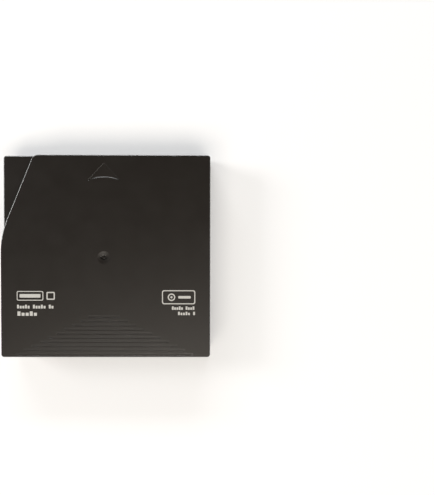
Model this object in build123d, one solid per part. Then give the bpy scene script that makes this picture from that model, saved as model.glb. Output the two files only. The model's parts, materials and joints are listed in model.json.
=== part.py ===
from build123d import *
from math import acos, atan2, cos, degrees, hypot, pi, radians, sin
import os

os.makedirs("parts", exist_ok=True)

# Half-inch single-reel tape data cartridge, in millimetres.
# It lies flat: bottom on z = 0, printed side up (+Z), leading edge towards +Y,
# tape door in the right-hand wall (+X). The case is centred on x = y = 0.

# Case, from the published size of this cartridge family
CASE_W = 105.4
CASE_L = 102.0
CASE_H = 21.5
CORNER_R = 1.5
EDGE_R = 0.5
WALL = 2.0
PLATE = 1.8
SPLIT_Z = 10.6
X1 = CASE_W / 2
Y1 = CASE_L / 2
WALL_X = X1 - WALL
WALL_Y = Y1 - WALL
TOP_IN = CASE_H - PLATE

# Stepped-down front left corner, measured in the photo
STEP_DROP = 5.0
STEP_WIDE = 16.6
STEP_LONG = 40.4
STEP_FRONT_R = 3.8
STEP_SIDE_R = 45.0
LOW_TOP = CASE_H - STEP_DROP
LOW_IN = LOW_TOP - PLATE

# Moulded marks on the top face, measured in the photo from its front and rear edges
ARROW_X = -0.7
ARROW_HALF = 8.3
ARROW_TIP_Y = Y1 - 4.0
ARROW_FOOT_Y = Y1 - 12.9
ARROW_BASE_Y = Y1 - 11.3
ARROW_DEEP = 0.5
ARROW_TIP_DEEP = 0.06
RIB_FIRST_Y = 20.5 - Y1
RIB_PITCH = 2.11
RIB_COUNT = 10
RIB_TAPER = 4.0
RIB_HALF_MAX = X1 - 8.1
RIB_W = 1.0
RIB_DEEP = 0.25
GATE_R = 3.2
GATE_DEEP = 0.35
PIT_HALF_X = 2.3
PIT_HALF_Y = 1.5
PIT_DEEP = 0.9
NUB_R = 0.4

# Door in the right-hand wall
DOOR_T = 1.3
DOOR_GAP = 0.3
DOOR_X = WALL_X - DOOR_GAP - DOOR_T
DOOR_Y1 = WALL_Y - DOOR_GAP
DOOR_TOP = TOP_IN - 0.2
BAY_L = 30.5
BAY_Y1 = Y1 - 3.5
BAY_Y0 = BAY_Y1 - BAY_L
BAY_Z0 = PLATE + 0.4
BAY_Z1 = TOP_IN - 0.5
DOOR_Y0 = BAY_Y0 - 1.5
TAB_Z0 = SPLIT_Z - 3.1
TAB_Z1 = SPLIT_Z + 3.9
TAB_GAP = 0.4
RAIL_T = 0.9
RAIL_H = 1.0
RAIL_X = DOOR_X - DOOR_GAP - RAIL_T
SPRING_R = 1.05
SPRING_WIRE_R = 0.15
SPRING_GAP = 0.1
SPRING_TURNS = 10
SPRING_X = WALL_X - SPRING_GAP - SPRING_R - SPRING_WIRE_R
SPRING_L = 37.5
SPRING_END_Y = DOOR_Y0 - SPRING_L
ROD_R = 0.6

# Reel
HUB_X = -0.8
HUB_Y = -0.6
REEL_GAP = 0.8
REEL_Z = PLATE + 1.1
REEL_R = min(WALL_Y + HUB_Y - REEL_GAP, RAIL_X - HUB_X - REEL_GAP - 0.3)
HUB_R = 22.0
HUB_WALL = 2.0
BORE_R = HUB_R - HUB_WALL
FLANGE_T = 1.2
TAPE_Z = REEL_Z + FLANGE_T
FLANGE_Z = TOP_IN - 1.4 - FLANGE_T
TAPE_W = FLANGE_Z - TAPE_Z - 0.35
PACK_R = REEL_R - 1.4
GUARD_R = REEL_R + REEL_GAP
GUARD_T = 1.2
WEB_Z = REEL_Z + 2.3
WEB_T = 1.8
TOOTH_H = 1.2
DRIVE_TEETH = 60
GEAR_R1 = BORE_R - 1.4
GEAR_R0 = GEAR_R1 - 4.0
GEAR_Z = REEL_Z - 0.7
LEG_ANGLES = (90, 210, 330)
LEG_PITCH_R = (GEAR_R0 + GEAR_R1) / 2
LEG_R = 1.35
LEG_GAP = 0.35
CLUTCH_R = GEAR_R0 - 0.8
CLUTCH_T = 0.8
CLUTCH_HOLE_R = 6.0

# Brake
LIFT = 1.6
BRAKE_TEETH = 36
BRAKE_R = BORE_R - 1.6
BRAKE_T = 1.5
TEETH_Z = WEB_Z + 1.0
BRAKE_Z = TEETH_Z + TOOTH_H
BRAKE_TOP = BRAKE_Z + BRAKE_T
KEY_T = 1.8
KEY_SPAN = 9.0
KEY_TOP = TOP_IN - LIFT - 0.5
KEY_GAP = 0.3
POST_R = 6.5
POST_Z = BRAKE_TOP + LIFT + 0.5
COIL_R = 7.5
COIL_WIRE_R = 0.4
COIL_TURNS = 4.5
COIL_PLAY = 0.05

# Leader pin
PIN_X = RAIL_X - 3.9
PIN_Y = Y1 - 13.0
PIN_LEN = TOP_IN - PLATE - 0.2
PIN_HEAD_R = 2.5
PIN_HEAD_T = 1.7
PIN_FLANGE_R = 3.3
PIN_SHAFT_R = 1.35
STRIP_T = 0.15
LEAF_T = 0.3

# Screws
SCREW_AT = [(4.7 - X1, Y1 - 4.8), (4.7 - X1, 4.8 - Y1), (X1 - 4.7, 4.8 - Y1), (X1 - 7.4, Y1 - 4.6)]
BOSS_R = 2.9
SCREW_HEAD_R = 1.8
SCREW_HEAD_T = 1.4
SCREW_SEAT_Z = PLATE + 1.2
SCREW_R = 1.0
SCREW_END_Z = SPLIT_Z + 2.0
SCREW_GAP = 0.05

# Write-lock slider and its window in the rear wall
LOCK_L = 15.6
LOCK_TRAVEL = 4.5
LOCK_X0 = 8.9 - X1
LOCK_X1 = LOCK_X0 + LOCK_L
LOCK_Z0 = PLATE + 1.6
LOCK_Z1 = SPLIT_Z - 0.3
LOCK_TAB_L = 5.5
LOCK_WIN_X0 = LOCK_X0 + 4.8
LOCK_WIN_X1 = LOCK_WIN_X0 + LOCK_TAB_L + LOCK_TRAVEL + 0.5
LOCK_BACK_Y = 2.5 - WALL_Y

# Contactless memory in the rear right corner, leaning at 45 degrees
MEMORY_AT = (X1 - 16.7, 5.9 - Y1, PLATE + 3.8)
BOARD_L = 17.0
BOARD_W = 9.6
BOARD_T = 0.8

# Gripper notches, locating hole and slot in the underside, label recess in the rear wall
NOTCH_Y0 = 17.0 - Y1
NOTCH_Y1 = 25.0 - Y1
NOTCH_DEEP = 2.8
NOTCH_H = SPLIT_Z - 3.2
HOLE_AT = (13.2 - X1, Y1 - 8.0)
SLOT_AT = (X1 - 24.2, Y1 - 6.0)
HOLE_R = 2.5
HOLE_DEEP = PLATE + 0.8
SLOT_L = 8.0
LABEL_DEEP = 0.4
LABEL_EDGE_Z = 2.6


# Small helpers

def block(x0, x1, y0, y1, z0, z1):
    return Pos((x0 + x1) / 2, (y0 + y1) / 2, (z0 + z1) / 2) * Box(x1 - x0, y1 - y0, z1 - z0)


def rod(x, y, z0, z1, r):
    return Pos(x, y, (z0 + z1) / 2) * Cylinder(r, z1 - z0)


def prism(face, z0, z1):
    return extrude(Pos(0, 0, z0) * face, z1 - z0, dir=(0, 0, 1))


def stud(x, y, z0, z1, r, sides=12):
    # a small round with few faces; r is measured to the middle of a face
    return prism(Pos(x, y) * RegularPolygon(r, sides, major_radius=False), z0, z1)


def outline(points, radii):
    return make_face(FilletPolyline(*points, radius=radii, close=True).edges())


def sector(x, y, r0, r1, a0, a1, z0, z1):
    # a piece of ring between two angles
    outer = CenterArc((x, y), r1, a0, a1 - a0)
    inner = CenterArc((x, y), r0, a0, a1 - a0)
    sides = [Line(outer @ 1, inner @ 1), Line(inner @ 0, outer @ 0)]
    return prism(make_face([outer, inner] + sides), z0, z1)


def turned(points, x, y):
    # a profile of (radius, height) points turned about a vertical axis
    face = make_face(Polyline(*[(r, 0, z) for r, z in points], close=True).edges())
    return Pos(x, y, 0) * revolve(face, Axis.Z, 360)


def gear_teeth(angles, count, r0, r1, z_root, up):
    # tapered teeth of a face gear on the hub axis; their width follows the pitch
    pitch = 2 * pi * r0 / count
    wide = 0.32 * pitch
    tip = 0.12 * pitch
    sink = 0.2
    grow = (wide - tip) * sink / TOOTH_H
    z_tip = z_root + up * TOOTH_H
    points = [(0, -wide - grow, z_root - up * sink), (0, wide + grow, z_root - up * sink),
              (0, tip, z_tip), (0, -tip, z_tip)]
    face = make_face(Polyline(*points, close=True).edges())
    tooth = Pos(r0, 0, 0) * extrude(face, r1 - r0, dir=(1, 0, 0))
    return [Pos(HUB_X, HUB_Y, 0) * Rot(0, 0, a) * tooth for a in angles]


def coil(radius, wire, length, turns, per_turn, sides):
    # a spring along +Z whose end turns lie flat; the wire is swept from corner to corner
    half = wire * cos(pi / sides)
    steps = int(turns * per_turn)
    points = []
    for i in range(steps + 1):
        climb = min(max((i - per_turn * 0.7) / (steps - per_turn * 1.4), 0), 1)
        a = 2 * pi * i / per_turn
        points.append((radius * cos(a), radius * sin(a), half + climb * (length - 2 * half)))
    path = Polyline(*points)
    start = path % 0
    across = Plane(origin=points[0], x_dir=(start.Y, -start.X, 0), z_dir=(start.X, start.Y, 0))
    wire_end = across * RegularPolygon(wire, sides, rotation=90 - 180 / sides)
    return sweep(wire_end, path=path, transition=Transition.RIGHT)


def rim_edges(solid, z):
    # edges that lie in one horizontal plane
    return solid.edges().filter_by_position(Axis.Z, z - 0.01, z + 0.01)


def case_plan(inset):
    x = X1 - inset
    y = Y1 - inset
    return outline([(-x, -y), (x, -y), (x, y), (-x, y)], [max(CORNER_R - inset, 0.5)] * 4)


def raised_plan(inset):
    # the full-height part of the case, without the stepped-down corner
    x = X1 - inset
    y = Y1 - inset
    long = hypot(STEP_WIDE, STEP_LONG)
    # the step line moved inwards by the inset
    px = -X1 + inset * STEP_LONG / long
    py = Y1 - STEP_LONG - inset * STEP_WIDE / long
    side_y = py + (-x - px) * STEP_LONG / STEP_WIDE
    front_x = px + (y - py) * STEP_WIDE / STEP_LONG
    corner = max(CORNER_R - inset, 0.5)
    points = [(-x, -y), (x, -y), (x, y), (front_x, y), (-x, side_y)]
    radii = [corner, corner, corner, max(STEP_FRONT_R - inset, 0.5), STEP_SIDE_R - inset]
    return outline(points, radii)


def guards(spans, z0, z1):
    # curved walls that keep the reel in the middle of the case
    return [sector(HUB_X, HUB_Y, GUARD_R, GUARD_R + GUARD_T, a0, a1, z0, z1) for a0, a1 in spans]


def door_rails(z0, z1):
    # low ribs that guide the door; the gap lets the leader pin out
    return [block(RAIL_X, RAIL_X + RAIL_T, SPRING_END_Y, PIN_Y - 6, z0, z1),
            block(RAIL_X, RAIL_X + RAIL_T, PIN_Y + 6, BAY_Y1, z0, z1)]


def pin_nest(z0, z1):
    # half ring and lip that hold one end of the leader pin, open towards the door
    r0 = PIN_HEAD_R + 0.3
    r1 = r0 + 1.1
    half = sector(PIN_X, PIN_Y, r0, r1, 110, 270, z0, z1)
    lip = block(PIN_X, PIN_X + 2.8, PIN_Y - r1, PIN_Y - r0, z0, z1)
    return [half, lip]


def bay_cut():
    # the tape door's window in the side wall, and the corner slot for the door's tab
    window = block(WALL_X - 0.3, X1 + 1, BAY_Y0, BAY_Y1, BAY_Z0, BAY_Z1)
    slot = block(DOOR_X - DOOR_GAP, X1 + 1, BAY_Y1 - 0.1, Y1 + 1, TAB_Z0 - TAB_GAP, TAB_Z1 + TAB_GAP)
    return [window, slot]


def label_cut():
    return block(LOCK_WIN_X1 + 7.0, X1 - 6.2, -Y1 - 1, -Y1 + LABEL_DEEP, LABEL_EDGE_Z, CASE_H - LABEL_EDGE_Z)


# Upper half of the case

def upper_shell():
    low = stepped_corner()
    high = prism(raised_plan(0), SPLIT_Z, CASE_H)
    high = fillet(rim_edges(high, CASE_H), EDGE_R)
    shell = low + high
    shell -= prism(case_plan(WALL), SPLIT_Z - 1, LOW_IN)
    shell -= prism(raised_plan(WALL), SPLIT_Z - 1, TOP_IN)
    adds = []
    for x, y in SCREW_AT:
        ceiling = LOW_IN if x < 0 and y > 0 else TOP_IN
        adds.append(stud(x, y, SPLIT_Z, ceiling + 0.5, BOSS_R))
    adds += guards([(205, 240), (302, 333), (17, 37)], SPLIT_Z + 2.4, TOP_IN + 0.2)
    adds += door_rails(TOP_IN - RAIL_H, TOP_IN + 0.2)
    adds += pin_nest(TOP_IN - 1.3, TOP_IN + 0.2)
    # three low pads over the reel stop it from lifting
    for a in LEG_ANGLES:
        adds.append(sector(HUB_X, HUB_Y, HUB_R + 2.0, HUB_R + 3.2, a - 25, a + 25, TOP_IN - 0.8, TOP_IN + 0.2))
    post = rod(HUB_X, HUB_Y, POST_Z, TOP_IN + 0.2, POST_R)
    gap = KEY_T / 2 + KEY_GAP
    for ax, ay in ((POST_R + 1, gap), (gap, POST_R + 1)):
        post -= block(HUB_X - ax, HUB_X + ax, HUB_Y - ay, HUB_Y + ay, POST_Z - 1, TOP_IN)
    adds.append(post)
    shell = shell + adds
    cuts = [stud(x, y, SPLIT_Z - 1, SCREW_END_Z + 0.6, SCREW_R + SCREW_GAP, 8) for x, y in SCREW_AT]
    cuts += bay_cut()
    cuts.append(label_cut())
    cuts += top_marks()
    return shell - cuts


def stepped_corner():
    # the lowered corner; its two inner sides end inside the raised part
    reach_y = Y1 - STEP_LONG - 15.6
    reach_x = STEP_WIDE - X1 + 26.1
    points = [(-X1, reach_y), (reach_x, reach_y), (reach_x, Y1), (-X1, Y1)]
    corner = prism(outline(points, [0, 0, 0, CORNER_R]), SPLIT_Z, LOW_TOP)
    outer = [e for e in rim_edges(corner, LOW_TOP)
             if e.center().X < 1 - X1 or e.center().Y > Y1 - 1]
    return fillet(outer, EDGE_R)


def arrow_mark():
    # the arrow head slopes down from its tip to a round step at its base
    left = (ARROW_X - ARROW_HALF, ARROW_FOOT_Y)
    right = (ARROW_X + ARROW_HALF, ARROW_FOOT_Y)
    tip = (ARROW_X, ARROW_TIP_Y)
    base = ThreePointArc(left, (ARROW_X, ARROW_BASE_Y), right)
    head = prism(make_face([Line(left, tip), Line(tip, right), base]), CASE_H - 1, CASE_H + 1)
    above = [(0, ARROW_TIP_Y + 1, CASE_H - ARROW_TIP_DEEP), (0, ARROW_TIP_Y + 1, CASE_H + 2),
             (0, ARROW_FOOT_Y - 1, CASE_H + 2), (0, ARROW_FOOT_Y - 1, CASE_H - ARROW_DEEP)]
    wedge = extrude(make_face(Polyline(*above, close=True).edges()), 2 * ARROW_HALF + 2, dir=(1, 0, 0))
    return head & (Pos(ARROW_X - ARROW_HALF - 1, 0, 0) * wedge)


def top_marks():
    # arrow head, grip grooves and gate mark, all sunk in the top face
    marks = [arrow_mark()]
    longest = RIB_TAPER + (RIB_COUNT - 1) * RIB_PITCH
    for i in range(RIB_COUNT):
        y = RIB_FIRST_Y - i * RIB_PITCH
        half = RIB_HALF_MAX * (RIB_TAPER + i * RIB_PITCH) / longest
        marks.append(block(ARROW_X - half, ARROW_X + half, y - RIB_W / 2, y + RIB_W / 2,
                           CASE_H - RIB_DEEP, CASE_H + 1))
    # the gate mark is a shallow round dish with a diamond-shaped pit and the gate's stub in it
    ball_r = (GATE_R ** 2 + GATE_DEEP ** 2) / (2 * GATE_DEEP)
    marks.append(Pos(HUB_X, HUB_Y, CASE_H - GATE_DEEP + ball_r) * Sphere(ball_r))
    pit = outline([(-PIT_HALF_X, 0), (0, -PIT_HALF_Y), (PIT_HALF_X, 0), (0, PIT_HALF_Y)], [0.3] * 4)
    low = CASE_H - GATE_DEEP - PIT_DEEP
    pit = prism(pit, low, CASE_H + 1) - stud(0, 0, low, low + 0.6, NUB_R, 8)
    marks.append(Pos(HUB_X, HUB_Y) * pit)
    return marks


# Lower half of the case

def lower_shell():
    shell = prism(case_plan(0), 0, SPLIT_Z)
    shell = chamfer(rim_edges(shell, 0), EDGE_R)
    shell -= prism(case_plan(WALL), PLATE, SPLIT_Z + 1)
    floor = PLATE - 0.2
    adds = [rod(HUB_X, HUB_Y, 0.4, REEL_Z, BORE_R + 2.6)]
    adds += [stud(x, y, floor, SPLIT_Z, BOSS_R) for x, y in SCREW_AT]
    adds += guards([(205, 240), (302, 333), (17, 37), (125, 150)], floor, SPLIT_Z - 2.6)
    adds += door_rails(floor, PLATE + RAIL_H)
    adds += pin_nest(floor, PLATE + 1.4)
    adds += spring_stop()
    adds += locating_bosses(floor)
    adds += lock_rails(floor)
    adds += memory_rests(floor)
    adds.append(spring_holder(floor))
    for side in (-1, 1):
        x = sorted((side * (X1 - NOTCH_DEEP - 1.5), side * (WALL_X + 0.2)))
        adds.append(block(x[0], x[1], NOTCH_Y0 - 1.5, NOTCH_Y1 + 1.5, floor, NOTCH_H + 1.5))
    shell = shell + adds
    cuts = [rod(HUB_X, HUB_Y, -1, REEL_Z + 1, BORE_R)]
    for x, y in SCREW_AT:
        cuts.append(stud(x, y, -1, SCREW_SEAT_Z, SCREW_HEAD_R + 0.4, 16))
        cuts.append(stud(x, y, 0, SPLIT_Z + 1, SCREW_R + 0.2, 8))
    cuts += bay_cut()
    cuts.append(label_cut())
    cuts.append(block(LOCK_WIN_X0, LOCK_WIN_X1, -Y1 - 1, -WALL_Y + 0.1, LOCK_Z0 + 1.0, LOCK_Z1 - 0.9))
    for side in (-1, 1):
        x = sorted((side * (X1 - NOTCH_DEEP), side * (X1 + 1)))
        cuts.append(block(x[0], x[1], NOTCH_Y0, NOTCH_Y1, -1, NOTCH_H))
    cuts.append(rod(HOLE_AT[0], HOLE_AT[1], -1, HOLE_DEEP, HOLE_R))
    cuts.append(prism(Pos(*SLOT_AT) * SlotOverall(SLOT_L, 2 * HOLE_R), -1, HOLE_DEEP))
    cuts.append(parting_groove())
    return shell - cuts


def parting_groove():
    # the fine shadow line where the two halves meet
    band = block(-X1 - 1, X1 + 1, -Y1 - 1, Y1 + 1, SPLIT_Z - 0.25, SPLIT_Z + 1)
    return band - prism(case_plan(0.25), SPLIT_Z - 1, SPLIT_Z + 2)


def spring_stop():
    # fin and spigot that carry the fixed end of the door's spring
    x0 = RAIL_X - 0.5
    y0 = SPRING_END_Y - 2
    low = block(x0, WALL_X + 0.1, y0, SPRING_END_Y, PLATE - 0.2, SPLIT_Z)
    high = block(x0, WALL_X - 0.2, y0, SPRING_END_Y, SPLIT_Z - 0.5, SPLIT_Z + 2.4)
    spigot = Pos(SPRING_X, SPRING_END_Y + 4, SPLIT_Z) * Rot(90, 0, 0) * stud(0, 0, 0, 4.2, ROD_R, 8)
    return [low, high, spigot]


def locating_bosses(floor):
    top = HOLE_DEEP + 1.2
    slot = Pos(*SLOT_AT) * SlotOverall(SLOT_L + 3, 2 * HOLE_R + 3)
    return [stud(HOLE_AT[0], HOLE_AT[1], floor, top, HOLE_R + 1.5, 16), prism(slot, floor, top)]


def lock_rails(floor):
    # shelf and back rib for the write-lock slider
    x0 = LOCK_X0 - 0.6
    x1 = LOCK_X1 + LOCK_TRAVEL + 0.5
    shelf = block(x0, x1, -WALL_Y - 0.1, LOCK_BACK_Y + 0.5, floor, LOCK_Z0)
    back = block(x0, x1, LOCK_BACK_Y + 0.3, LOCK_BACK_Y + 1.3, floor, LOCK_Z1 - 1.3)
    return [shelf, back]


def memory_rests(floor):
    # two sloping ribs under the memory board and a stop beside each end
    x, y, z = MEMORY_AT
    drop = BOARD_T / 2 * 2 ** 0.5
    line = y + z - drop
    wall = -WALL_Y - 0.1
    rests = []
    for at in (x - 6.5, x + 6.5):
        points = [(0, wall, floor), (0, wall, line - wall), (0, line - floor, floor)]
        face = make_face(Polyline(*points, close=True).edges())
        rests.append(Pos(at - 0.6, 0, 0) * extrude(face, 1.2, dir=(1, 0, 0)))
    reach = BOARD_L / 2 + 0.2
    for x0 in (x - reach - 1.0, x + reach):
        rests.append(block(x0, x0 + 1.0, wall, wall + 5.1, floor, z + 1.9))
    return rests


def along_spring(u0, u1, v0, v1, z0, z1):
    # a block turned to the leader-pin spring's direction, 45 degrees to the front wall
    turn = Pos(PIN_X, PIN_Y, 0) * Rot(0, 0, -45)
    return turn * block(u0, u1, v0, v1, z0, z1)


def spring_holder(floor):
    # slotted block that holds the spine of the leader-pin spring
    v0 = PIN_HEAD_R
    v1 = v0 + LEAF_T
    holder = along_spring(-10.2, -7.4, v0 - 1.15, v1 + 1.15, floor, PLATE + 5.2)
    return holder - along_spring(-11, -7, v0 - 0.05, v1, PLATE + 0.2, PLATE + 6.2)


# Door and its spring

def door():
    plate = block(DOOR_X, DOOR_X + DOOR_T, DOOR_Y0, DOOR_Y1, PLATE, DOOR_TOP)
    tab = block(DOOR_X, X1 - 0.4, BAY_Y1 - 0.1, Y1 - 0.4, TAB_Z0, TAB_Z1)
    tab = fillet(tab.edges().filter_by(Axis.Z).sort_by(Axis.X)[-2:], 0.5)
    stem = Pos(SPRING_X, DOOR_Y0 + 0.2, SPLIT_Z) * Rot(90, 0, 0) * stud(0, 0, 0, 10.2, ROD_R, 8)
    face_x = DOOR_X + DOOR_T
    ribs = [block(face_x - 0.1, face_x + 0.25, DOOR_Y1 - back, DOOR_Y1 - back + 0.8, PLATE + 3.2, TOP_IN - 3.7)
            for back in (8.7, 6.7, 4.7)]
    return plate + [tab, stem] + ribs


def door_spring():
    length = DOOR_Y0 - SPRING_END_Y - COIL_PLAY / 2
    spring = coil(SPRING_R, SPRING_WIRE_R, length, SPRING_TURNS, 6, 4)
    return Pos(SPRING_X, DOOR_Y0, SPLIT_Z) * Rot(90, 0, 0) * spring


# Reel

def reel_hub():
    profile = [(0, WEB_Z - WEB_T), (GEAR_R0, WEB_Z - WEB_T), (GEAR_R0, GEAR_Z), (GEAR_R1, GEAR_Z),
               (GEAR_R1, REEL_Z), (REEL_R, REEL_Z), (REEL_R, TAPE_Z), (HUB_R, TAPE_Z),
               (HUB_R, FLANGE_Z), (BORE_R, FLANGE_Z), (BORE_R, WEB_Z), (0, WEB_Z)]
    hub = turned(profile, HUB_X, HUB_Y)
    # drive teeth underneath, with a gap at each release leg
    pitch = 360 / DRIVE_TEETH
    angles = [i * pitch for i in range(DRIVE_TEETH)]
    free = [a for a in angles if min(abs(a - leg) for leg in LEG_ANGLES) > 7]
    adds = gear_teeth(free, DRIVE_TEETH, GEAR_R0 + 0.3, GEAR_R1 - 0.3, GEAR_Z, -1)
    # brake teeth on three raised arcs inside
    pitch = 360 / BRAKE_TEETH
    for leg in LEG_ANGLES:
        middle = leg - 60
        adds.append(sector(HUB_X, HUB_Y, BRAKE_R - 3.4, BRAKE_R, middle - 36, middle + 36,
                           WEB_Z - 0.2, TEETH_Z))
        angles = [middle + k * pitch for k in range(-3, 4)]
        adds += gear_teeth(angles, BRAKE_TEETH, BRAKE_R - 3.2, BRAKE_R - 0.2, TEETH_Z, 1)
    hub = hub + adds
    holes = [stud(x, y, GEAR_Z - 2, WEB_Z + 1, LEG_R + LEG_GAP, 16) for x, y in leg_places()]
    return hub - holes


def leg_places():
    return [(HUB_X + LEG_PITCH_R * cos(radians(a)), HUB_Y + LEG_PITCH_R * sin(radians(a)))
            for a in LEG_ANGLES]


def reel_upper_flange():
    profile = [(BORE_R, FLANGE_Z), (REEL_R, FLANGE_Z), (REEL_R, FLANGE_Z + FLANGE_T), (BORE_R, FLANGE_Z + FLANGE_T)]
    return turned(profile, HUB_X, HUB_Y)


def clutch_plate():
    z = WEB_Z - WEB_T
    return rod(HUB_X, HUB_Y, z - CLUTCH_T, z, CLUTCH_R) - stud(HUB_X, HUB_Y, z - 2, z + 1, CLUTCH_HOLE_R, 24)


def tape_pack():
    ring = rod(HUB_X, HUB_Y, TAPE_Z, TAPE_Z + TAPE_W, PACK_R)
    return ring - rod(HUB_X, HUB_Y, TAPE_Z - 1, TAPE_Z + TAPE_W + 1, HUB_R)


# Brake

def release_plate():
    places = leg_places()
    z0 = WEB_Z
    z1 = TEETH_Z - 0.2
    pad_r = LEG_R + 1.05
    pads = [rod(x, y, z0, z1, pad_r) for x, y in places]
    face = make_hull([e for x, y in places for e in (Pos(x, y) * Circle(pad_r)).edges()])
    plate = prism(face, z0, z1)
    legs = [stud(x, y, 0.6, z0 + 0.1, LEG_R, 16) for x, y in places]
    boss = stud(HUB_X, HUB_Y, z1 - 0.1, BRAKE_Z - 0.1, 3.0, 16)
    return plate + pads + legs + [boss]


def brake_disc():
    half = KEY_SPAN / 2
    arm = KEY_T / 2
    disc = rod(HUB_X, HUB_Y, BRAKE_Z, BRAKE_TOP, BRAKE_R)
    pitch = 360 / BRAKE_TEETH
    angles = [(i + 0.5) * pitch for i in range(BRAKE_TEETH)]
    teeth = gear_teeth(angles, BRAKE_TEETH, BRAKE_R - 3.2, BRAKE_R - 0.2, BRAKE_Z, -1)
    z0 = BRAKE_TOP - 0.1
    key = [block(HUB_X - half, HUB_X + half, HUB_Y - arm, HUB_Y + arm, z0, KEY_TOP),
           block(HUB_X - arm, HUB_X + arm, HUB_Y - half, HUB_Y + half, z0, KEY_TOP)]
    return disc + teeth + key


def brake_spring():
    spring = coil(COIL_R, COIL_WIRE_R, TOP_IN - BRAKE_TOP - COIL_PLAY, COIL_TURNS, 12, 4)
    return Pos(HUB_X, HUB_Y, BRAKE_TOP) * spring


# Leader pin, its tape and what holds it

def leader_pin():
    flange = PIN_HEAD_T + 0.7
    half = [(0, 0), (PIN_HEAD_R, 0), (PIN_HEAD_R, PIN_HEAD_T), (PIN_FLANGE_R, PIN_HEAD_T),
            (PIN_FLANGE_R, flange), (PIN_SHAFT_R, flange)]
    mirror = [(r, PIN_LEN - z) for r, z in reversed(half)]
    return turned([(r, PLATE + z) for r, z in half + mirror], PIN_X, PIN_Y)


def tangent_angle(r_pack, r_pin):
    # direction of the radius where the straight run leaves the pack and meets the pin
    dx = PIN_X - HUB_X
    dy = PIN_Y - HUB_Y
    return degrees(atan2(dy, dx)) + degrees(acos((r_pack - r_pin) / hypot(dx, dy)))


def tape_leader():
    # outermost turn beside the pack, straight run, and half a turn round the pin
    pack = PACK_R + 0.35
    angle = tangent_angle(pack, PIN_SHAFT_R)
    z0 = TAPE_Z + 0.2
    z1 = z0 + TAPE_W
    a = radians(angle)
    wrap = sector(HUB_X, HUB_Y, pack, pack + STRIP_T, angle, angle + 70, z0, z1)
    turn = sector(PIN_X, PIN_Y, PIN_SHAFT_R, PIN_SHAFT_R + STRIP_T, angle - 170, angle, z0, z1)
    n = (cos(a), sin(a))
    corners = []
    for x, y, r in ((HUB_X, HUB_Y, pack), (PIN_X, PIN_Y, PIN_SHAFT_R),
                    (PIN_X, PIN_Y, PIN_SHAFT_R + STRIP_T), (HUB_X, HUB_Y, pack + STRIP_T)):
        corners.append((x + n[0] * r, y + n[1] * r))
    run = prism(make_face(Polyline(*corners, close=True).edges()), z0, z1)
    return run + [wrap, turn]


def leader_clip():
    r = PIN_SHAFT_R + STRIP_T
    return sector(PIN_X, PIN_Y, r, r + 0.9, 200 - 360, 75, TAPE_Z + 0.4, TAPE_Z + TAPE_W + 0.05)


def pin_spring():
    # spring steel bent to a C: a spine in the slotted block and two arms on the pin's heads
    v = PIN_HEAD_R
    z0 = PLATE + 0.2
    z1 = TOP_IN - 0.4
    wide = 0.9
    plate = along_spring(-10.0, 3.4, v, v + LEAF_T, z0, z1)
    plate -= along_spring(-7.0, 5.0, v - 1, v + 1, z0 + wide, z1 - wide)
    tips = []
    for z in (z0, z1 - wide):
        tip = Pos(PIN_X, PIN_Y, 0) * Rot(0, 0, -45) * Pos(3.4, v + LEAF_T / 2, 0)
        tips.append(tip * stud(0, 0, z, z + wide, 0.35, 8))
    return plate + tips


# Slider, memory and screws

def write_lock_slider():
    plate = block(LOCK_X0, LOCK_X1, -WALL_Y + 0.3, LOCK_BACK_Y, LOCK_Z0, LOCK_Z1)
    tab_x = LOCK_WIN_X0 + 0.3
    tab = block(tab_x, tab_x + LOCK_TAB_L, -Y1 + 0.4, -WALL_Y + 0.4, LOCK_Z0 + 1.3, LOCK_Z1 - 1.2)
    tab = fillet(tab.edges().filter_by(Axis.Z).sort_by(Axis.Y)[:2], 0.4)
    grips = [block(tab_x + x, tab_x + x + 0.5, -Y1, -Y1 + 0.7, LOCK_Z0 + 1.8, LOCK_Z1 - 1.7)
             for x in (0.8, 2.5, 4.2)]
    return plate + (tab - grips)


def lean(piece):
    # from board coordinates (length X, width Y, thickness Z) to the leaning place
    x, y, z = MEMORY_AT
    return Pos(x, y, z) * Rot(-45, 0, 0) * piece


def memory_board():
    return lean(Box(BOARD_L, BOARD_W, BOARD_T))


def memory_antenna():
    z = BOARD_T / 2
    long = BOARD_L - 1.6
    wide = BOARD_W - 1.4
    loop = Box(long, wide, 0.1) - Box(long - 2, wide - 2, 1)
    return lean(Pos(0, 0, z + 0.05) * loop)


def memory_chip():
    return lean(Pos(2.5, 0, BOARD_T / 2 + 0.35) * Box(3.2, 3.2, 0.7))


def case_screws():
    screws = []
    for x, y in SCREW_AT:
        z0 = SCREW_SEAT_Z - SCREW_HEAD_T
        screw = stud(x, y, z0, SCREW_SEAT_Z, SCREW_HEAD_R, 16) + stud(x, y, z0, SCREW_END_Z, SCREW_R, 8)
        screw -= prism(Pos(x, y) * RegularPolygon(0.9, 6), z0 - 1, z0 + 0.7)
        screws.append(screw)
    return Compound(children=[s.solid() for s in screws])


PIECES = {
    "upper_shell": upper_shell, "lower_shell": lower_shell, "door": door, "door_spring": door_spring,
    "reel_hub": reel_hub, "reel_upper_flange": reel_upper_flange, "clutch_plate": clutch_plate,
    "tape_pack": tape_pack, "release_plate": release_plate, "brake_disc": brake_disc,
    "brake_spring": brake_spring, "leader_pin": leader_pin, "tape_leader": tape_leader,
    "leader_clip": leader_clip, "pin_spring": pin_spring, "write_lock_slider": write_lock_slider,
    "memory_board": memory_board, "memory_antenna": memory_antenna, "memory_chip": memory_chip,
    "case_screws": case_screws,
}

for name, make in PIECES.items():
    piece = make()
    solids = piece.solids()
    export_step(piece if len(solids) > 1 else solids[0], f"parts/{name}.step")
    print(name, len(solids), round(piece.volume, 1))
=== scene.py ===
# %% [markdown]
# # A half-inch single-reel tape cartridge
# The CAD model is the frame: it gives every piece its place and size. This lesson adds what a CAD kernel
# does badly: the moulded and metal finishes, the wound springs, the printing, the light and the camera.

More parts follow.
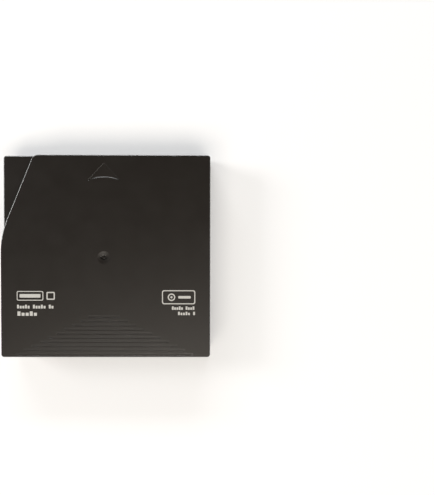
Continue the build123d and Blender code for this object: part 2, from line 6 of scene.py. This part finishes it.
# %% Load the frame
import bpy
import json
import math
from mathutils import Matrix, Vector


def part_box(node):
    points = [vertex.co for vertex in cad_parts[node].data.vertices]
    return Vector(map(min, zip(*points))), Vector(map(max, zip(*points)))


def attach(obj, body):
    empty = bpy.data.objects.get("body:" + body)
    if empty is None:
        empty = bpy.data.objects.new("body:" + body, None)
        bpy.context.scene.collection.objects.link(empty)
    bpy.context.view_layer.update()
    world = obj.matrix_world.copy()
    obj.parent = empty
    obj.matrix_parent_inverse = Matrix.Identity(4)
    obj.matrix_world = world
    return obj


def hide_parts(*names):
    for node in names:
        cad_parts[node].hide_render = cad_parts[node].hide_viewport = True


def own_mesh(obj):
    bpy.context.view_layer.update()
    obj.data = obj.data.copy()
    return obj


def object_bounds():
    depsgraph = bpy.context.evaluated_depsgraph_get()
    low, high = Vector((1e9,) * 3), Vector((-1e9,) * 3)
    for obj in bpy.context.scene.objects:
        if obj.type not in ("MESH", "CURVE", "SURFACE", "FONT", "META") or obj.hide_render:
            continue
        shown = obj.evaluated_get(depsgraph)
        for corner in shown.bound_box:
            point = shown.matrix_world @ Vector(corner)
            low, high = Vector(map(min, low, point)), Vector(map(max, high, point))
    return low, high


MM = 0.001

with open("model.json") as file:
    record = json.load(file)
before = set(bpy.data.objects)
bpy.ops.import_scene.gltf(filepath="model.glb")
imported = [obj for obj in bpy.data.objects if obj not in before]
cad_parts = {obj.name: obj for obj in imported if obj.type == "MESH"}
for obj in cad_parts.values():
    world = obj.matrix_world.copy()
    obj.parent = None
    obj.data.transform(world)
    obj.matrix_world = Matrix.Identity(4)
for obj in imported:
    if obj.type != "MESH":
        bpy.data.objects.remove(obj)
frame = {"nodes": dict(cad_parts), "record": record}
nodes = frame["nodes"]
cad_low, cad_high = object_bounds()
print("loaded", len(nodes), "nodes, box in mm", [round(a / MM, 2) for a in cad_high - cad_low])

# %% [markdown]
# ## Finishes
# Every finish is a small tree of shader nodes, so it is sharp at any distance and needs no picture file.
# A node takes numbers in some sockets and other nodes' results in the rest. One helper says both in a
# single line, which keeps each recipe below short enough to read as a recipe.

# %% Helpers that add a shader node and fill its sockets
def feed(tree, node, inputs):
    for socket, value in inputs.items():
        if isinstance(value, bpy.types.NodeSocket):
            tree.links.new(value, node.inputs[socket])
        else:
            node.inputs[socket].default_value = value


def put(tree, kind, inputs, **settings):
    node = tree.nodes.new("ShaderNode" + kind)
    for setting, value in settings.items():
        setattr(node, setting, value)
    feed(tree, node, inputs)
    return node


# %% [markdown]
# ### Clouding
# No moulded or rolled surface has quite the same colour and gloss all over: the melt cools unevenly,
# hands and tools polish it here and there. A soft noise with patches of about a centimetre shifts both by
# a few percent. It is barely seen, but without it a face looks airbrushed.

# %% Shift the colour and the gloss in soft patches
CLOUD_SCALE = 90.0
CLOUD_DETAIL = 4.0
TINT_SWING = 0.06


def clouded(tree, where, colour, rough, vary):
    patches = {"Vector": where, "Scale": CLOUD_SCALE, "Detail": CLOUD_DETAIL}
    cloud = put(tree, "TexNoise", patches).outputs["Fac"]
    darker = (*[c * (1 - TINT_SWING) for c in colour], 1)
    lighter = (*[min(c * (1 + TINT_SWING), 1) for c in colour], 1)
    tint = put(tree, "Mix", {}, data_type="RGBA")
    feed(tree, tint, {"Factor": cloud, "A": darker, "B": lighter})
    gloss = put(tree, "MapRange", {"Value": cloud, "To Min": rough - vary, "To Max": rough + vary})
    return tint.outputs["Result"], gloss.outputs["Result"]


# %% [markdown]
# ### Polished edges
# The mould is spark-eroded to give the case its matt texture, but the texture fades out where the steel
# is rounded over, and handling polishes the edges further. Each edge of the real case therefore draws a
# thin bright line. Real fillets of 0.2 mm would cost thousands of faces, so a Bevel node bends only the
# shading there. The bent normal also tells where an edge is: on a face it stands upright or lies flat,
# and on an edge it is tilted.

# %% Find the edges and make them smoother
EDGE_SAMPLES = 16
EDGE_ROUGH = 0.17
EDGE_COAT = {"Coat Roughness": 0.20, "Coat IOR": 2.2}
# how upright the bent normal stands, from 0 to 1, and how far that makes it an edge
EDGE_TILTS = ((0.0, 0.0), (0.10, 0.0), (0.35, 1.0), (0.92, 1.0), (0.965, 0.0), (1.0, 0.0))


def edge_share(tree, rounded):
    own = put(tree, "VectorTransform", {"Vector": rounded},
              vector_type="NORMAL", convert_from="WORLD", convert_to="OBJECT")
    split = put(tree, "SeparateXYZ", {"Vector": own.outputs["Vector"]})
    upright = put(tree, "Math", {0: split.outputs["Z"]}, operation="ABSOLUTE")
    tilt = put(tree, "FloatCurve", {"Value": upright.outputs["Value"]})
    curve = tilt.mapping.curves[0]
    for place in EDGE_TILTS[1:-1]:
        curve.points.new(*place)
    curve.points[0].location = EDGE_TILTS[0]
    curve.points[-1].location = EDGE_TILTS[-1]
    tilt.mapping.update()
    return tilt.outputs["Value"]


# %% [markdown]
# ### Grain and turning marks
# Two fine reliefs are left to bump nodes, because they are far too small to model. The spark-eroded grain
# is a noise of about a third of a millimetre. Turning leaves rings about the lathe's axis, a feed step
# apart, and a wave texture with rings about the same axis gives them.

# %% Raise a fine relief
GRAIN_SCALE = 3000.0
GRAIN_DETAIL = 2.0
RELIEF = 0.04 * MM
TURNING_FEED = 0.25 * MM
TURNING_WOBBLE = 0.6
# a wave texture of scale 1 draws this many rings over one unit of length
WAVES_PER_UNIT = 20 / (2 * math.pi)


def grain(tree, where):
    pits = {"Vector": where, "Scale": GRAIN_SCALE, "Detail": GRAIN_DETAIL}
    return put(tree, "TexNoise", pits).outputs["Fac"]


def turning_marks(tree, where, axis):
    about = put(tree, "VectorMath", {0: where, 1: axis}, operation="SUBTRACT")
    scale = 1 / (TURNING_FEED * WAVES_PER_UNIT)
    marks = {"Vector": about.outputs["Vector"], "Scale": scale, "Distortion": TURNING_WOBBLE}
    return put(tree, "TexWave", marks, wave_type="RINGS", rings_direction="Z").outputs["Fac"]


# %% Put a finish together
finishes = {}


def material(name, colour, rough, vary, metal=0.0, specular=0.5, relief=0.0, edge=0.0, lathe_axis=None):
    m = bpy.data.materials.new(name)
    m.use_nodes = True
    m.diffuse_color = (*colour, 1)
    tree = m.node_tree
    bsdf = tree.nodes["Principled BSDF"]
    where = put(tree, "TexCoord", {}).outputs["Object"]
    tint, gloss = clouded(tree, where, colour, rough, vary)
    feed(tree, bsdf, {"Base Color": tint, "Roughness": gloss})
    feed(tree, bsdf, {"Metallic": metal, "Specular IOR Level": specular})
    under = {}
    if edge:
        rounded = put(tree, "Bevel", {"Radius": edge}, samples=EDGE_SAMPLES).outputs["Normal"]
        share = edge_share(tree, rounded)
        polish = put(tree, "MapRange", {"Value": share, "To Min": gloss, "To Max": EDGE_ROUGH})
        feed(tree, bsdf, {"Roughness": polish.outputs["Result"], "Normal": rounded})
        feed(tree, bsdf, {"Coat Weight": share, **EDGE_COAT})
        under = {"Normal": rounded}
    if relief:
        height = turning_marks(tree, where, lathe_axis) if lathe_axis else grain(tree, where)
        bump = put(tree, "Bump", {"Height": height, "Strength": relief, "Distance": RELIEF, **under})
        feed(tree, bsdf, {"Normal": bump.outputs["Normal"]})
    finishes[name] = m


# %% [markdown]
# ### The cartridge's own plastics and metals
# The case and the door are nearly black polycarbonate, a little warm in tone. The reel is a glossier
# black, and the working parts inside are left in the white and cream of unpigmented acetal, which runs
# dry on itself. The write-protect slider is red, so that an operator sees its state at arm's length.
# Steel is only where a drive pulls or a spring bends, and the ring that the drive's magnet holds is
# turned.

# %% Mix the finishes
ring_low, ring_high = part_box("clutch_plate")
lathe = tuple((ring_low + ring_high) / 2)

material("case_plastic", (0.0070, 0.0046, 0.0026), 0.39, 0.05, specular=0.38, relief=0.4, edge=0.20 * MM)
material("door_plastic", (0.0108, 0.0076, 0.0049), 0.36, 0.04, specular=0.47, relief=0.3, edge=0.15 * MM)
material("reel_plastic", (0.030, 0.030, 0.032), 0.30, 0.04)
material("white_plastic", (0.72, 0.71, 0.66), 0.42, 0.04, relief=0.2)
material("brake_plastic", (0.50, 0.48, 0.42), 0.45, 0.04, relief=0.2)
material("lock_plastic", (0.42, 0.022, 0.016), 0.40, 0.05, relief=0.25)
material("steel", (0.56, 0.56, 0.57), 0.24, 0.06, metal=1.0)
material("turned_steel", (0.56, 0.56, 0.57), 0.24, 0.06, metal=1.0, relief=0.3, lathe_axis=lathe)
material("spring_steel", (0.40, 0.40, 0.42), 0.22, 0.05, metal=1.0)
material("tape", (0.020, 0.014, 0.012), 0.16, 0.03)
material("board", (0.012, 0.10, 0.045), 0.36, 0.06)
material("copper", (0.72, 0.34, 0.18), 0.30, 0.06, metal=1.0)
material("chip", (0.008, 0.008, 0.009), 0.25, 0.05)
material("print_ink", (0.49, 0.48, 0.45), 0.55, 0.08)
print("mixed", len(finishes), "finishes")

# %% [markdown]
# ## Put the finishes on the CAD pieces
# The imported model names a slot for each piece, and most slots have one finish. Edges under about 35
# degrees are shaded smooth, so the round pieces look turned and the moulded corners stay crisp. Beside a
# small fillet a big flat face would take on its bent normals and look dented: the weighted normals keep
# the flat faces flat.

# %% Dress the CAD nodes
SMOOTH_UNDER = 35
# 50 is neutral, and above it the large faces count for more
LARGE_FACES_FIRST = 80
special_finish = {"clutch_plate": "turned_steel"}
slot_of = {part["node"]: part["material_slot"] for part in frame["record"]["subparts"]}


def shade(obj, smooth_under):
    for face in obj.data.polygons:
        face.use_smooth = True
    obj.data.set_sharp_from_angle(angle=math.radians(smooth_under))
    even = obj.modifiers.new("flat_faces_stay_flat", "WEIGHTED_NORMAL")
    even.keep_sharp = True
    even.weight = LARGE_FACES_FIRST


for name, obj in nodes.items():
    obj.data.materials.clear()
    obj.data.materials.append(finishes[special_finish.get(name, slot_of[name])])
    shade(obj, SMOOTH_UNDER)
print("dressed", len(nodes), "nodes")

# %% [markdown]
# ## Wound springs
# A coil spring is one wire on a helix, with the end turns closed so that it stands square. A winder feeds
# the wire against a pitch tool, which opens for the free turns and closes at both ends. The curve does
# the same: its rise per turn is small at the ends and full in between. Blender's curve gives the wire its
# round section, and the result becomes a plain mesh, as all the pieces of this scene are.

# %% A helper that turns a curve into a piece
def piece_from_curve(name, curve, finish, place):
    drawn = bpy.data.objects.new(name + "_line", curve)
    bpy.context.scene.collection.objects.link(drawn)
    bpy.context.view_layer.update()
    mesh = bpy.data.meshes.new_from_object(drawn.evaluated_get(bpy.context.evaluated_depsgraph_get()))
    bpy.data.objects.remove(drawn)
    mesh.transform(place)
    mesh.materials.clear()
    mesh.materials.append(finishes[finish])
    obj = bpy.data.objects.new(name, mesh)
    bpy.context.scene.collection.objects.link(obj)
    return obj


# %% Work out the helix, whose wire is given by its radius
STEPS_PER_TURN = 20
CLOSED_TURNS = 1.0
CLOSED_RISE = 0.25


def helix(length, radius, wire, turns):
    rise = [0.0]
    for i in range(int(turns * STEPS_PER_TURN)):
        done = i / STEPS_PER_TURN
        closed = min(done, turns - done) < CLOSED_TURNS
        rise.append(rise[-1] + (CLOSED_RISE if closed else 1.0))
    points = []
    for i, height in enumerate(rise):
        angle = 2 * math.pi * i / STEPS_PER_TURN
        along = wire + (length - 2 * wire) * height / rise[-1]
        points.append((radius * math.cos(angle), radius * math.sin(angle), along))
    return points


# %% Wind a wire and stand it along its axis
WIRE_ROUNDNESS = 2
WIRE_SMOOTH_UNDER = 60


def wound_spring(name, foot, axis, length, radius, wire, turns):
    curve = bpy.data.curves.new(name, "CURVE")
    curve.dimensions = "3D"
    curve.bevel_depth = wire
    curve.bevel_resolution = WIRE_ROUNDNESS
    curve.use_fill_caps = True
    points = helix(length, radius, wire, turns)
    line = curve.splines.new("POLY")
    line.points.add(len(points) - 1)
    for point, place in zip(line.points, points):
        point.co = (*place, 1)
    turn = Vector((0, 0, 1)).rotation_difference(Vector(axis)).to_matrix().to_4x4()
    obj = piece_from_curve(name, curve, "spring_steel", Matrix.Translation(foot) @ turn)
    shade(obj, WIRE_SMOOTH_UNDER)
    return obj


# %% [markdown]
# ### The door spring
# It lies in a channel along the door wall and pushes the door shut. The door moves 22 mm, and the
# spring's far end moves with it while its near end rests on the case; here the piece is fixed to the case
# at its full length. It stands in the room that the plain CAD coil keeps for it, and takes that
# coil's place.

# %% Wind the door spring
low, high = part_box("door_spring")
middle = (low + high) / 2
door_length = high.y - low.y
foot = Vector((middle.x, low.y, middle.z))
door_coil = wound_spring("door_spring_coil", foot, (0, 1, 0), door_length,
                         radius=1.05 * MM, wire=0.15 * MM, turns=26)
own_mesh(door_coil)
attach(door_coil, "case")
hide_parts("door_spring")
print("wound the door spring,", round(door_length / MM, 1), "mm long")

# %% [markdown]
# ### The brake spring
# It stands between the upper shell and the brake disc and presses the disc's teeth into the hub's. When
# the drive lifts the disc by 1.6 mm the spring shortens from below; here it is fixed to the case at its
# full length.

# %% Wind the brake spring
low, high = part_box("brake_spring")
middle = (low + high) / 2
brake_length = high.z - low.z
foot = Vector((middle.x, middle.y, low.z))
brake_coil = wound_spring("brake_spring_coil", foot, (0, 0, 1), brake_length,
                          radius=7.4 * MM, wire=0.4 * MM, turns=5.5)
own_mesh(brake_coil)
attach(brake_coil, "case")
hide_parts("brake_spring")
print("wound the brake spring,", round(brake_length / MM, 1), "mm tall")

# %% [markdown]
# ## The ramp in the arrow
# The arrow head in the top face slopes down from its tip to a curved step at its base. On the real case
# the step is a short ramp, so that it slides out of the mould, and under a lamp it draws a bright curved
# line. The CAD arrow has a plain wall there, and a thin wedge along the curve turns the wall into the
# ramp. It gets narrower towards both ends, where the arrow's straight sides close in on it.

# %% Measure the arrow's base, in millimetres
# its middle, half its width, how far it bends, and how far it lies from the leading edge
ARROW_X = -0.7
ARROW_HALF = 8.3
ARROW_SAG = 1.6
ARROW_BASE = 11.3
# the sunk face, from its shallow end near the tip to its deep end at the base
FLOOR_FROM = 3.0
FLOOR_TO = 13.9
SHALLOW = 0.06
DEEP = 0.50
leading = cad_high.y / MM
top = cad_high.z / MM
bend = (ARROW_HALF ** 2 + ARROW_SAG ** 2) / (2 * ARROW_SAG)
bend_y = leading - ARROW_BASE - bend
half_angle = math.asin(ARROW_HALF / bend)
print("the base is bent to a radius of", round(bend, 1), "mm")


def arrow_floor(y):
    # how high the sunk face lies, measured back from the leading edge
    share = (leading - FLOOR_FROM - y) / (FLOOR_TO - FLOOR_FROM)
    return top - SHALLOW - (DEEP - SHALLOW) * share


# %% Lay the ramp
RAMP_STEPS = 48
RAMP_WIDE = 0.50
BITE = 0.03
SIDE_SLANT = 20
closing = math.tan(math.radians(SIDE_SLANT))


def ramp_section(angle):
    # the wall's top, the ramp's foot on the sunk face and the wall's foot, all biting a little
    # into the case
    wide = min(RAMP_WIDE, closing * bend * (half_angle - abs(angle)))
    corners = []
    for reach in (bend - BITE, bend + wide, bend - BITE):
        y = bend_y + reach * math.cos(angle)
        corners.append(Vector((ARROW_X + reach * math.sin(angle), y, arrow_floor(y) - BITE)))
    corners[0].z = top - BITE
    return [corner * MM for corner in corners]


points = []
faces = [(0, 1, 2), (3 * RAMP_STEPS + 2, 3 * RAMP_STEPS + 1, 3 * RAMP_STEPS)]
for i in range(RAMP_STEPS + 1):
    points += ramp_section(half_angle * (2 * i / RAMP_STEPS - 1))
for i in range(0, 3 * RAMP_STEPS, 3):
    faces += [(i + b, i + a, i + 3 + a, i + 3 + b) for a, b in ((0, 1), (1, 2), (2, 0))]
mesh = bpy.data.meshes.new("arrow_ramp")
mesh.from_pydata(points, [], faces)
mesh.materials.append(finishes["case_plastic"])
ramp = bpy.data.objects.new("arrow_ramp", mesh)
bpy.context.scene.collection.objects.link(ramp)
shade(ramp, SMOOTH_UNDER)
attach(ramp, "case")
print("laid the ramp,", round(2 * half_angle * bend, 1), "mm along")

# %% [markdown]
# ## Pad printing
# The case carries two groups of plain marks in off-white ink: frames, bars, a ring with a dot like a
# reel, and rows of short blocks. A pad printer lays about 0.02 mm of ink, so the marks stand a hair proud
# of the face. A flat filled curve gives such shapes: an outline inside another cuts a hole in it, and a
# little thickness lets the ink bite into the case.

# %% A helper that prints one mark from outlines in millimetres
INK_THICK = 0.045 * MM
INK_PROUD = 0.015 * MM
ink_middle = cad_high.z + INK_PROUD - INK_THICK / 2


def ink(name, outlines):
    curve = bpy.data.curves.new(name, "CURVE")
    curve.dimensions = "2D"
    curve.fill_mode = "BOTH"
    curve.extrude = INK_THICK / 2
    for outline in outlines:
        line = curve.splines.new("POLY")
        line.points.add(len(outline) - 1)
        for point, (x, y) in zip(line.points, outline):
            point.co = (x * MM, y * MM, 0, 1)
        line.use_cyclic_u = True
    obj = piece_from_curve(name, curve, "print_ink", Matrix.Translation((0, 0, ink_middle)))
    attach(obj, "case")
    return obj


# %% The shapes that the marks are made of
CORNER_STEP = 15
DISC_STEP = 10


def block(x, y, wide, tall, radius):
    # a rectangle with rounded corners, from its lower left corner
    corners = ((x + wide - radius, y + tall - radius, 0), (x + radius, y + tall - radius, 90),
               (x + radius, y + radius, 180), (x + wide - radius, y + radius, 270))
    outline = []
    for cx, cy, start in corners:
        for degrees in range(start, start + 90 + CORNER_STEP, CORNER_STEP):
            angle = math.radians(degrees)
            outline.append((cx + radius * math.cos(angle), cy + radius * math.sin(angle)))
    return outline


def framed(x, y, wide, tall, line, radius):
    inside = block(x + line, y + line, wide - 2 * line, tall - 2 * line, radius - line / 2)
    return [block(x, y, wide, tall, radius), inside]


def disc(x, y, radius):
    angles = [math.radians(degrees) for degrees in range(0, 360, DISC_STEP)]
    return [(x + radius * math.cos(a), y + radius * math.sin(a)) for a in angles]


# %% A row of short blocks in groups of five, every third one full height
BLOCK_PITCH = 1.35
LOW_BLOCK = 0.72
BLOCK_ROUNDING = 0.15
TALL_EVERY = 3
GAP_EVERY = 6


def block_row(x, y, wide, tall, stroke):
    count = round(wide / (stroke * BLOCK_PITCH))
    pitch = wide / count
    row = []
    for i in range(count):
        height = tall if i % TALL_EVERY == 0 else tall * LOW_BLOCK
        if (i + 1) % GAP_EVERY:
            row.append(block(x + i * pitch, y, stroke, height, BLOCK_ROUNDING))
    return row


# %% [markdown]
# ### The left-hand marks
# They start a margin in from the left side and in from the near edge: a long frame around a bar, a small
# square frame beside it, and two rows of short blocks below. All the places are worked out from the
# case's own corner, so the marks stay on the case if its size changes.

# %% Print the left-hand marks
LEFT_MARGIN = 8.1
LEFT_FROM_NEAR = 28.7
left = cad_low.x / MM + LEFT_MARGIN
near = cad_low.y / MM + LEFT_FROM_NEAR
ink("print_left_frame", framed(left, near, wide=13.3, tall=4.8, line=0.4, radius=0.7))
ink("print_left_bar", [block(left + 1.4, near + 1.5, wide=10.5, tall=1.8, radius=0.3)])
ink("print_left_square", framed(left + 14.9, near + 0.4, wide=4.2, tall=4.0, line=0.6, radius=0.5))
ink("print_left_line_1", block_row(left + 0.1, near - 4.0, wide=18.6, tall=1.9, stroke=1.0))
ink("print_left_line_2", block_row(left + 0.3, near - 7.7, wide=10.3, tall=2.2, stroke=1.5))
print("printed the left-hand marks from x", round(left, 1), "and y", round(near, 1))

# %% [markdown]
# ### The right-hand marks
# They end a margin in from the right side: a large frame with a reel sign in it, and two rows of short
# blocks that end near the same margin.

# %% Print the right-hand marks
RIGHT_MARGIN = 7.5
RIGHT_FROM_NEAR = 26.9
FRAME_WIDE = 16.8
FRAME_TALL = 7.1
REEL_INSET = 4.8
right = cad_high.x / MM - RIGHT_MARGIN
base = cad_low.y / MM + RIGHT_FROM_NEAR
reel_x = right - FRAME_WIDE + REEL_INSET
reel_y = base + FRAME_TALL / 2
ink("print_right_frame", framed(right - FRAME_WIDE, base, FRAME_WIDE, FRAME_TALL, line=0.5, radius=1.05))
ink("print_right_ring", [disc(reel_x, reel_y, radius=1.9), disc(reel_x, reel_y, radius=1.3)])
ink("print_right_dot", [disc(reel_x, reel_y, radius=0.55)])
ink("print_right_bar", [block(right - 8.6, reel_y - 0.65, wide=6.3, tall=1.3, radius=0.4)])
ink("print_right_line_1", block_row(right - 11.8, base - 2.8, wide=11.6, tall=1.7, stroke=0.9))
ink("print_right_line_2", block_row(right - 8.7, base - 5.5, wide=8.9, tall=1.7, stroke=0.9))
print("printed the right-hand marks up to x", round(right, 1))

# %% [markdown]
# ## Floor
# The picture is a catalogue shot on white. The floor is matt white paper that takes the cartridge's soft
# shadow, but even beside the case a quarter of what the camera sees is a glowing white, painted light that
# makes that shadow paler. Farther off it turns wholly into an even white that only the camera and
# reflections see, so the ground ends nowhere and no extra light falls on the plastic. From below it is
# clear, so the underside can be looked at.

# %% Lay the floor
FLOOR_SIZE = 4.0
FLOOR_BELOW = 0.2 * MM
WHITE_FROM = 0.06
WHITE_TO = 0.40
# the share of glowing white that the camera sees beside the case: painted light that makes the shadow
# paler
WHITE_LEAST = 0.25
bpy.ops.mesh.primitive_plane_add(size=FLOOR_SIZE, location=(0, 0, cad_low.z - FLOOR_BELOW))
floor = bpy.context.object
floor.name = "floor"
paper = bpy.data.materials.new("floor_paper")
paper.use_nodes = True
tree = paper.node_tree
matt = tree.nodes["Principled BSDF"]
feed(tree, matt, {"Base Color": (0.95, 0.95, 0.95, 1), "Roughness": 0.9, "Specular IOR Level": 0.1})
place = put(tree, "TexCoord", {}).outputs["Object"]
reach = put(tree, "VectorMath", {0: place}, operation="LENGTH").outputs["Value"]
fade = {"Value": reach, "From Min": WHITE_FROM, "From Max": WHITE_TO, "To Min": WHITE_LEAST}
far = put(tree, "MapRange", fade, interpolation_type="SMOOTHSTEP").outputs["Result"]
ray = put(tree, "LightPath", {}).outputs
seen = put(tree, "Math", {0: ray["Is Camera Ray"], 1: ray["Is Glossy Ray"]}, operation="MAXIMUM")
share = put(tree, "Math", {0: far, 1: seen.outputs["Value"]}, operation="MULTIPLY").outputs["Value"]
white = put(tree, "Emission", {"Strength": 1.0}).outputs["Emission"]
upper = put(tree, "MixShader", {"Fac": share, 1: matt.outputs["BSDF"], 2: white}).outputs["Shader"]
below = put(tree, "NewGeometry", {}).outputs["Backfacing"]
clear = put(tree, "BsdfTransparent", {}).outputs["BSDF"]
both = put(tree, "MixShader", {"Fac": below, 1: upper, 2: clear}).outputs["Shader"]
feed(tree, tree.nodes["Material Output"], {"Surface": both})
floor.data.materials.append(paper)
print("laid the floor, pure white from", WHITE_TO, "m out")

# %% [markdown]
# ## Light
# Black plastic shows its lamps more than its colour. A strip beyond the leading edge is mirrored by the
# arrow's ramp, as a thin bright curve. A soft box at the left is mirrored by the rounded edge of the
# stepped corner: the edge is so thin that a smaller lamp would break its line up into sparks. A broad warm
# box above the near side lies close to where the top face mirrors the camera, so the face gets lighter and
# warmer towards the bottom of the picture. Together they and the room show a grey card a little lighter
# than it is written. Places and sizes are in metres, and the power in watts.

# %% Set the lamps
def soft_box(name, place, wide, tall, power, colour):
    light = bpy.data.lights.new(name, "AREA")
    light.shape = "RECTANGLE"
    light.size = wide
    light.size_y = tall
    light.energy = power
    light.color = colour
    obj = bpy.data.objects.new(name, light)
    bpy.context.scene.collection.objects.link(obj)
    obj.location = place
    obj.rotation_euler = (-Vector(place)).to_track_quat("-Z", "Y").to_euler()


soft_box("strip_leading", (-0.06, 0.90, 0.50), wide=0.9, tall=0.16, power=5.2, colour=(0.94, 0.97, 1.0))
soft_box("box_left", (-0.80, 0.24, 0.52), wide=0.32, tall=0.32, power=4.2, colour=(1.0, 1.0, 1.0))
soft_box("warm_near", (0.06, -0.46, 0.84), wide=1.0, tall=0.46, power=7.2, colour=(1.0, 0.93, 0.84))
print("set", len(bpy.data.lights), "lamps")

# %% [markdown]
# The room is white near the horizon and dim overhead. So the side walls have something pale to reflect in
# any view, while the top face stays as dark as its plastic.

# %% Paint the room
HORIZON = 1.0
OVERHEAD = 0.10
DIM_FROM = 0.10
DIM_TO = 0.50
world = bpy.data.worlds.new("studio")
world.use_nodes = True
bpy.context.scene.world = world
tree = world.node_tree
direction = put(tree, "TexCoord", {}).outputs["Generated"]
climb = put(tree, "SeparateXYZ", {"Vector": direction}).outputs["Z"]
dimming = {"Value": climb, "From Min": DIM_FROM, "From Max": DIM_TO, "To Min": HORIZON, "To Max": OVERHEAD}
strength = put(tree, "MapRange", dimming).outputs["Result"]
feed(tree, tree.nodes["Background"], {"Color": (1.0, 1.0, 1.0, 1), "Strength": strength})
bpy.context.scene.view_settings.view_transform = "Standard"
print("painted the room from", HORIZON, "at the horizon to", OVERHEAD, "overhead")

# %% [markdown]
# ## Camera
# It looks almost straight down from about 0.29 m above the top face, over the case's right side, so the
# cartridge lies in the left half of the picture. The place and the lens come from lining up the case's
# corners and its stepped-down corner with the picture, and a slight tilt shows a sliver of the near wall.

# %% Set the camera
EYE = (53.36, 11.70, 309.59)
AHEAD = (0.0104, -0.0246, -0.9996)
PICTURE_UP = (-0.0020, 0.9997, -0.0246)
LENS = 41.59
SENSOR = 36.0
NEAREST_SEEN = 0.01
eye = Vector(EYE) * MM
ahead = Vector(AHEAD).normalized()
rightward = ahead.cross(Vector(PICTURE_UP)).normalized()
upward = rightward.cross(ahead)
camera_data = bpy.data.cameras.new("camera")
camera_data.sensor_width = SENSOR
camera_data.lens = LENS
camera_data.clip_start = NEAREST_SEEN
camera = bpy.data.objects.new("camera", camera_data)
bpy.context.scene.collection.objects.link(camera)
turn = Matrix((rightward, upward, -ahead)).transposed().to_4x4()
camera.matrix_world = Matrix.Translation(eye) @ turn
bpy.context.scene.camera = camera
print("camera at", [round(a / MM, 1) for a in eye], "mm")
